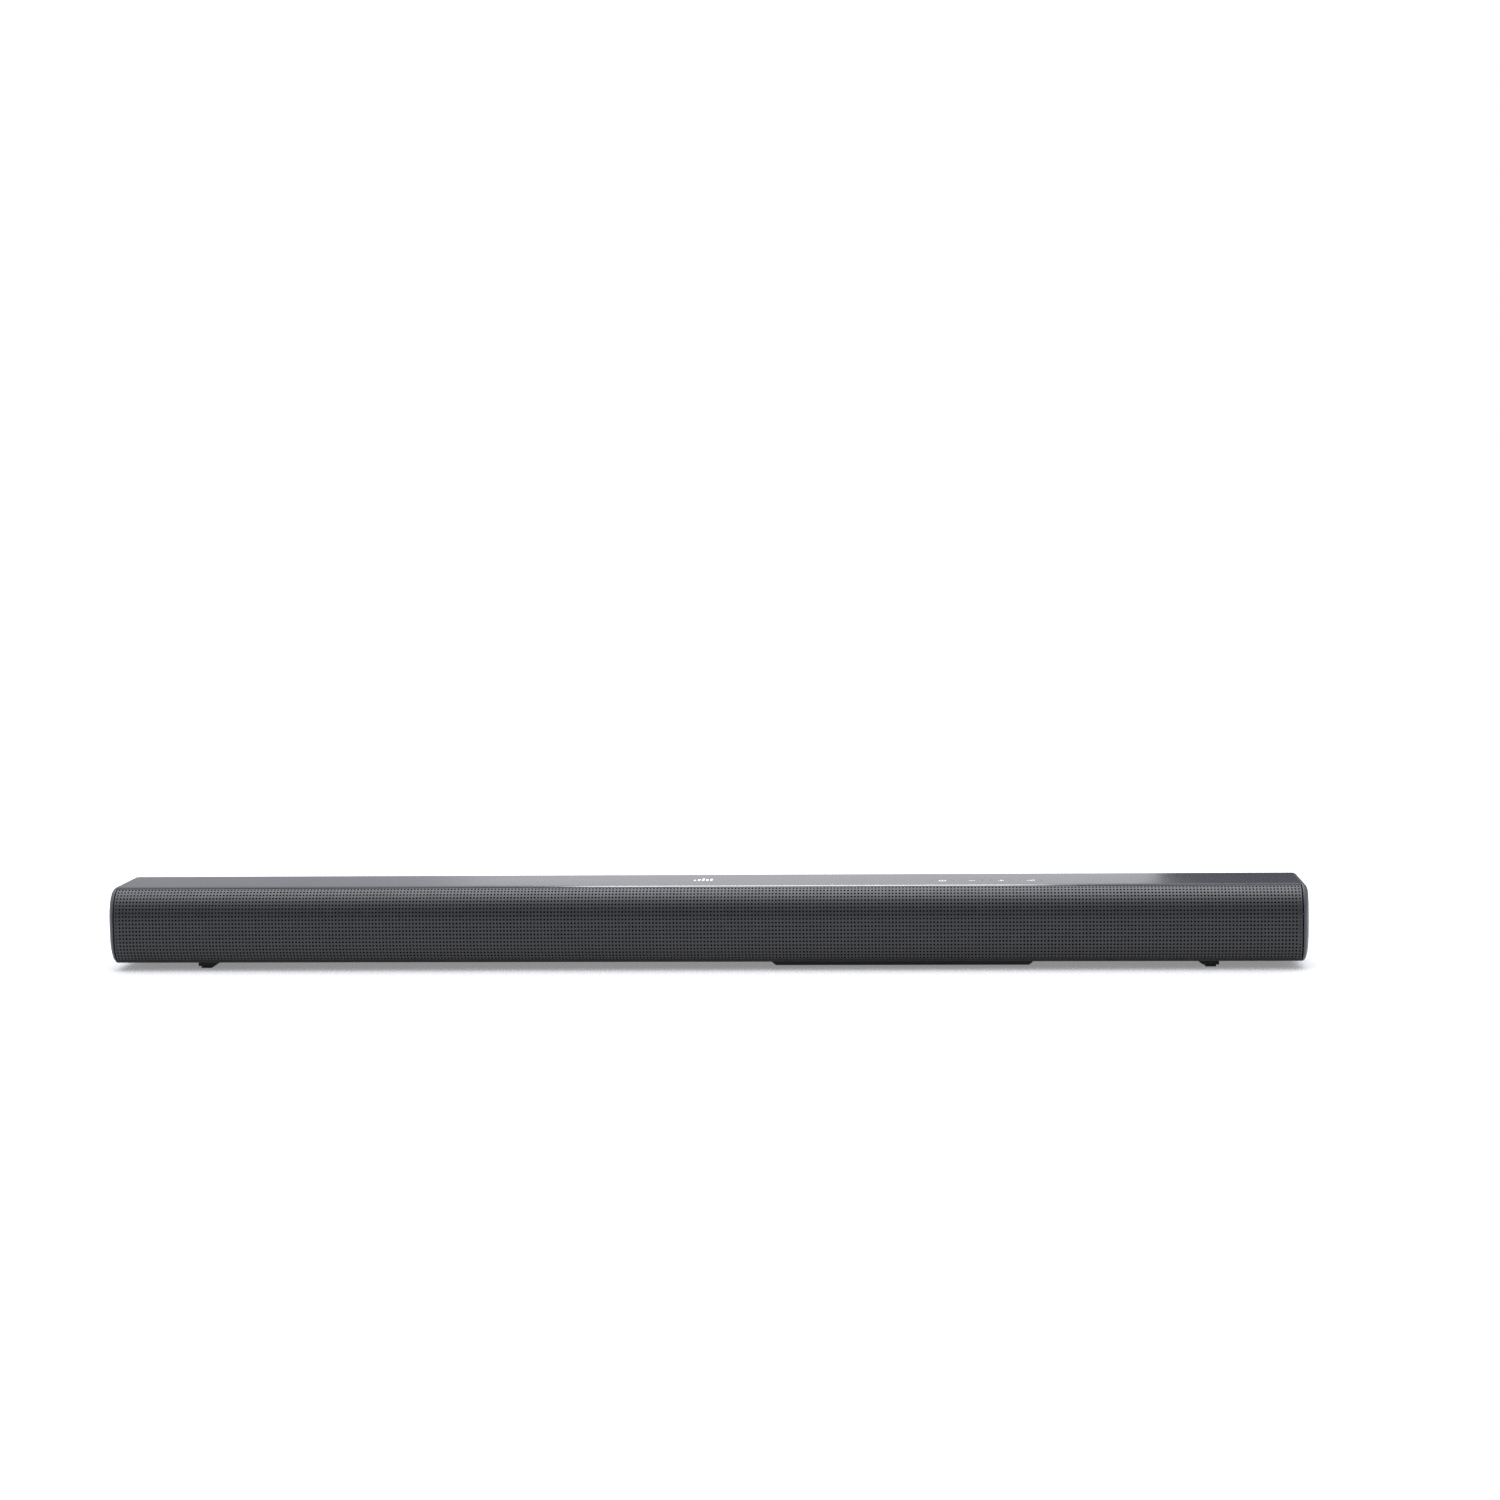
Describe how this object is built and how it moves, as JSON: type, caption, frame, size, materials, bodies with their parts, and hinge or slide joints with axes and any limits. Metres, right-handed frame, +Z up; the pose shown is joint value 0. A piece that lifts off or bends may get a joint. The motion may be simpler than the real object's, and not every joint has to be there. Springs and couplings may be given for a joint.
{
  "type": "soundbar",
  "caption": "Long low soundbar with a wrapped perforated steel grille, satin top cover with push buttons, rounded end caps, rubber feet and a rear cable recess.",
  "frame": {"origin": "on the surface the feet stand on, under the middle of the bar's footprint", "axes": "+X along the bar towards the listener's right, -Y out of the grille, +Z up through the top cover"},
  "size_m": [0.9, 0.072, 0.063],
  "materials": {
    "cabinet_plastic": "fine moulded texture, charcoal",
    "cover_plastic": "satin gunmetal paint on plastic",
    "cap_plastic": "satin charcoal",
    "grille_steel": "perforated steel, powder coated charcoal",
    "acoustic_cloth": "thin black stretch knit",
    "rubber": "matt black",
    "cone_polypropylene": "matt black, lightly textured",
    "basket_plastic": "glass-filled black",
    "ferrite": "dark ferrite with zinc plates",
    "board_laminate": "green solder mask",
    "aluminium": "extruded, clear finish",
    "winding_copper": "varnished winding and yellow tape",
    "capacitor_sleeve": "dark blue shrink sleeve",
    "socket_plastic": "moulded black",
    "plated_steel": "nickel plated",
    "lead_sheath": "red and black twin wire"
  },
  "bodies": {
    "cabinet": {"rear_cabinet": "cabinet_plastic", "bottom_panel": "cabinet_plastic", "front_baffle": "cabinet_plastic", "top_cover": "cover_plastic", "left_end_cap": "cap_plastic", "right_end_cap": "cap_plastic", "electronics_cover": "cabinet_plastic", "front_grille": "grille_steel", "acoustic_cloth": "acoustic_cloth", "connector_panel": "cabinet_plastic", "left_foot": "rubber", "left_foot_pad": "rubber", "right_foot": "rubber", "right_foot_pad": "rubber", "button_board": "board_laminate", "power_switch": "socket_plastic", "volume_down_switch": "socket_plastic", "volume_up_switch": "socket_plastic", "source_switch": "socket_plastic", "left_outer_woofer_frame": "basket_plastic", "left_outer_woofer_surround": "rubber", "left_outer_woofer_magnet": "ferrite", "left_inner_woofer_frame": "basket_plastic", "left_inner_woofer_surround": "rubber", "left_inner_woofer_magnet": "ferrite", "right_inner_woofer_frame": "basket_plastic", "right_inner_woofer_surround": "rubber", "right_inner_woofer_magnet": "ferrite", "right_outer_woofer_frame": "basket_plastic", "right_outer_woofer_surround": "rubber", "right_outer_woofer_magnet": "ferrite", "left_tweeter": "basket_plastic", "right_tweeter": "basket_plastic", "indicator_board": "board_laminate", "main_board": "board_laminate", "power_board": "board_laminate", "heat_sink": "aluminium", "power_transformer": "winding_copper", "bulk_capacitor": "capacitor_sleeve", "power_inlet": "socket_plastic", "optical_socket": "socket_plastic", "video_socket": "plated_steel", "service_socket": "plated_steel", "left_speaker_lead": "lead_sheath", "right_speaker_lead": "lead_sheath", "left_bracket_screw": "plated_steel", "right_bracket_screw": "plated_steel"},
    "power_button": {"power_button": "cover_plastic", "power_plunger": "socket_plastic"},
    "volume_down_button": {"volume_down_button": "cover_plastic", "volume_down_plunger": "socket_plastic"},
    "volume_up_button": {"volume_up_button": "cover_plastic", "volume_up_plunger": "socket_plastic"},
    "source_button": {"source_button": "cover_plastic", "source_plunger": "socket_plastic"},
    "left_outer_cone": {"left_outer_woofer_cone": "cone_polypropylene"},
    "left_inner_cone": {"left_inner_woofer_cone": "cone_polypropylene"},
    "right_inner_cone": {"right_inner_woofer_cone": "cone_polypropylene"},
    "right_outer_cone": {"right_outer_woofer_cone": "cone_polypropylene"},
    "optical_shutter": {"optical_shutter": "socket_plastic"}
  },
  "joints": [
    {"name": "power_press", "type": "slide", "parent": "cabinet", "child": "power_button", "axis": [0, 0, -1], "range_m": [0, 0.0005], "stiffness_N_per_m": 1500, "springref_m": -0.0004},
    {"name": "volume_down_press", "type": "slide", "parent": "cabinet", "child": "volume_down_button", "axis": [0, 0, -1], "range_m": [0, 0.0005], "stiffness_N_per_m": 1500, "springref_m": -0.0004},
    {"name": "volume_up_press", "type": "slide", "parent": "cabinet", "child": "volume_up_button", "axis": [0, 0, -1], "range_m": [0, 0.0005], "stiffness_N_per_m": 1500, "springref_m": -0.0004},
    {"name": "source_press", "type": "slide", "parent": "cabinet", "child": "source_button", "axis": [0, 0, -1], "range_m": [0, 0.0005], "stiffness_N_per_m": 1500, "springref_m": -0.0004},
    {"name": "left_outer_cone_stroke", "type": "slide", "parent": "cabinet", "child": "left_outer_cone", "axis": [0, -1, 0], "range_m": [-0.0015, 0.0015], "stiffness_N_per_m": 1500},
    {"name": "left_inner_cone_stroke", "type": "slide", "parent": "cabinet", "child": "left_inner_cone", "axis": [0, -1, 0], "range_m": [-0.0015, 0.0015], "stiffness_N_per_m": 1500},
    {"name": "right_inner_cone_stroke", "type": "slide", "parent": "cabinet", "child": "right_inner_cone", "axis": [0, -1, 0], "range_m": [-0.0015, 0.0015], "stiffness_N_per_m": 1500},
    {"name": "right_outer_cone_stroke", "type": "slide", "parent": "cabinet", "child": "right_outer_cone", "axis": [0, -1, 0], "range_m": [-0.0015, 0.0015], "stiffness_N_per_m": 1500},
    {"name": "optical_shutter_swing", "type": "hinge", "parent": "cabinet", "child": "optical_shutter", "pos_m": [0.11, 0.0216, 0.0311], "axis": [-1, 0, 0], "range_deg": [0, 75], "stiffness_Nm_per_rad": 0.0008, "springref_deg": -11.46}
  ]
}
